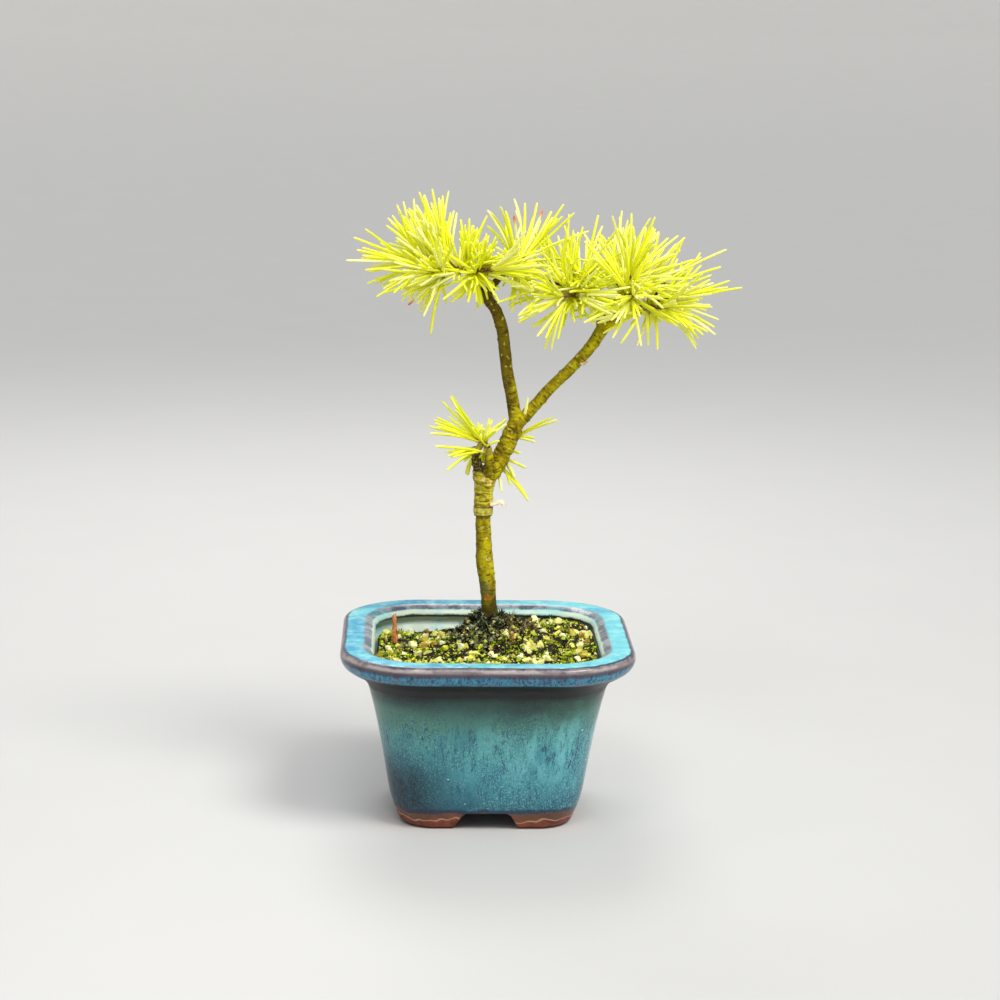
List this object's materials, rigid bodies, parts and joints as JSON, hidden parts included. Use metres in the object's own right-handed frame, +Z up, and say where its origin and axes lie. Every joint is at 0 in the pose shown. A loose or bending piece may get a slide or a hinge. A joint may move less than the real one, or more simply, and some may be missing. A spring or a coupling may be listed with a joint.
{
  "type": "japanese white pine bonsai",
  "caption": "Small grafted white pine bonsai with a forked stem and short needle sprays, in a square glazed pot on corner feet, with moss and grit on the soil.",
  "frame": {"origin": "below the middle of the bounding box, on the plane that the pot's feet stand on", "axes": "+Z up, +X to the right of the picture's view, -Y towards the viewer"},
  "size_m": [0.1216, 0.09, 0.1922],
  "materials": {
    "glaze": "glossy mottled turquoise glaze, bare brown clay on the feet",
    "mesh_plastic": "matte",
    "grit": "pale porous grit with bright moss between",
    "moss": "matte, fibrous",
    "bark": "olive bark with ring wrinkles",
    "tape": "weathered",
    "needle": "waxy bright yellow-green"
  },
  "bodies": {
    "root": {"pot": "glaze", "drain_mesh": "mesh_plastic", "soil": "grit", "moss_collar": "moss", "wood": "bark", "grafting_tape": "tape", "needles_left": "needle", "needles_centre": "needle", "needles_right_inner": "needle", "needles_right_crown": "needle", "needles_right_outer": "needle", "needles_low": "needle", "needles_stem": "needle"}
  },
  "joints": []
}
